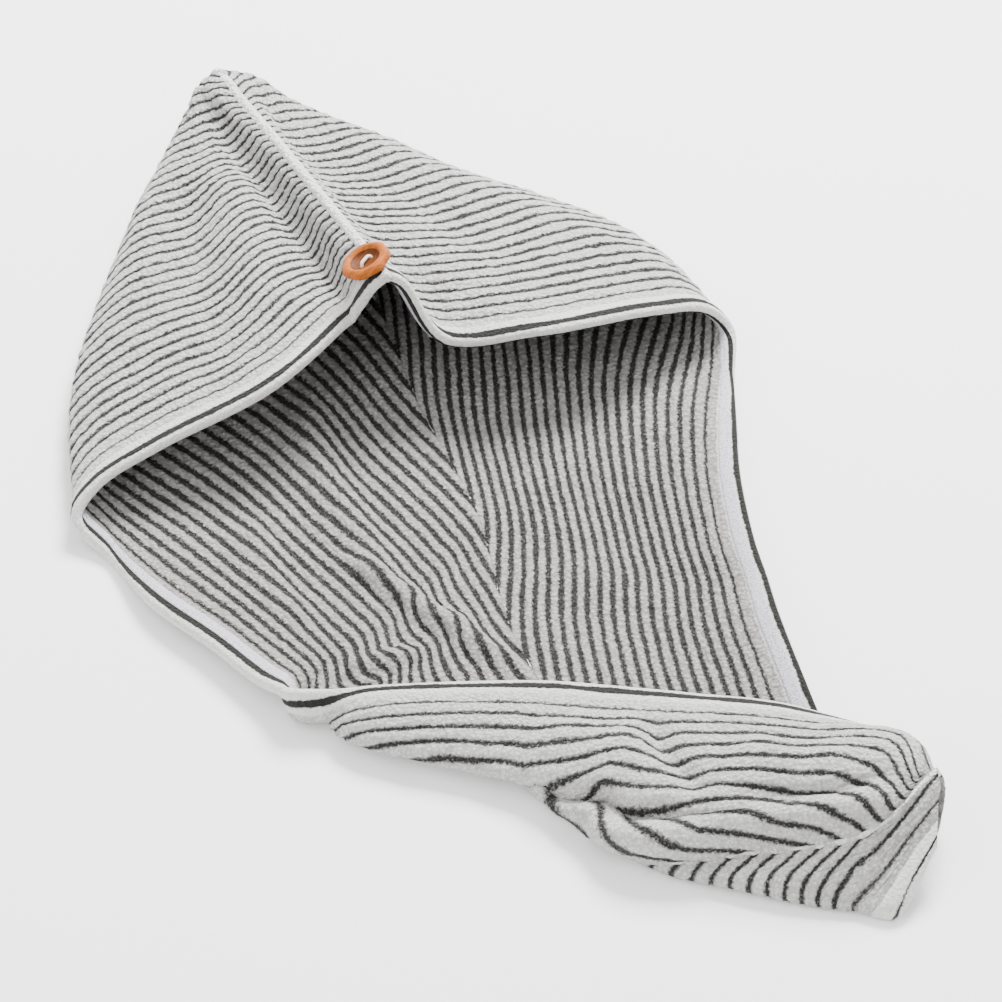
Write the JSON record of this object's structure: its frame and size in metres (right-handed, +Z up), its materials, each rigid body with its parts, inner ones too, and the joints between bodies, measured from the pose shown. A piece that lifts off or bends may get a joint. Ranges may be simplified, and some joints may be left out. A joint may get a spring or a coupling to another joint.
{
  "type": "hair turban towel",
  "caption": "Hair turban of striped pile cloth lying with its hood open, with a button on the crown ridge and a folded, twisted tail.",
  "frame": {"origin": "middle of the box round the towel, on the floor", "axes": "+Z up, +Y towards the hood's apex, -Y towards the tail, +X to the side that the tail's end points to"},
  "size_m": [0.3042, 0.6042, 0.0761],
  "materials": {
    "pile_cloth": "striped pile, matte",
    "hem_cloth": "bound edge, matte",
    "tape": "flecked woven tape, matte",
    "seam": "sewn seam, matte",
    "button": "satin with a lighter rim",
    "thread": "sewing thread",
    "cord": "elastic cord"
  },
  "bodies": {
    "root": {"panel_left": "pile_cloth", "panel_right": "pile_cloth", "hem_left": "hem_cloth", "hem_right": "hem_cloth", "hem_tape_left": "tape", "hem_tape_right": "tape", "crown_seam": "seam", "button": "button", "button_thread": "thread", "fastening_loop": "cord"}
  },
  "joints": []
}
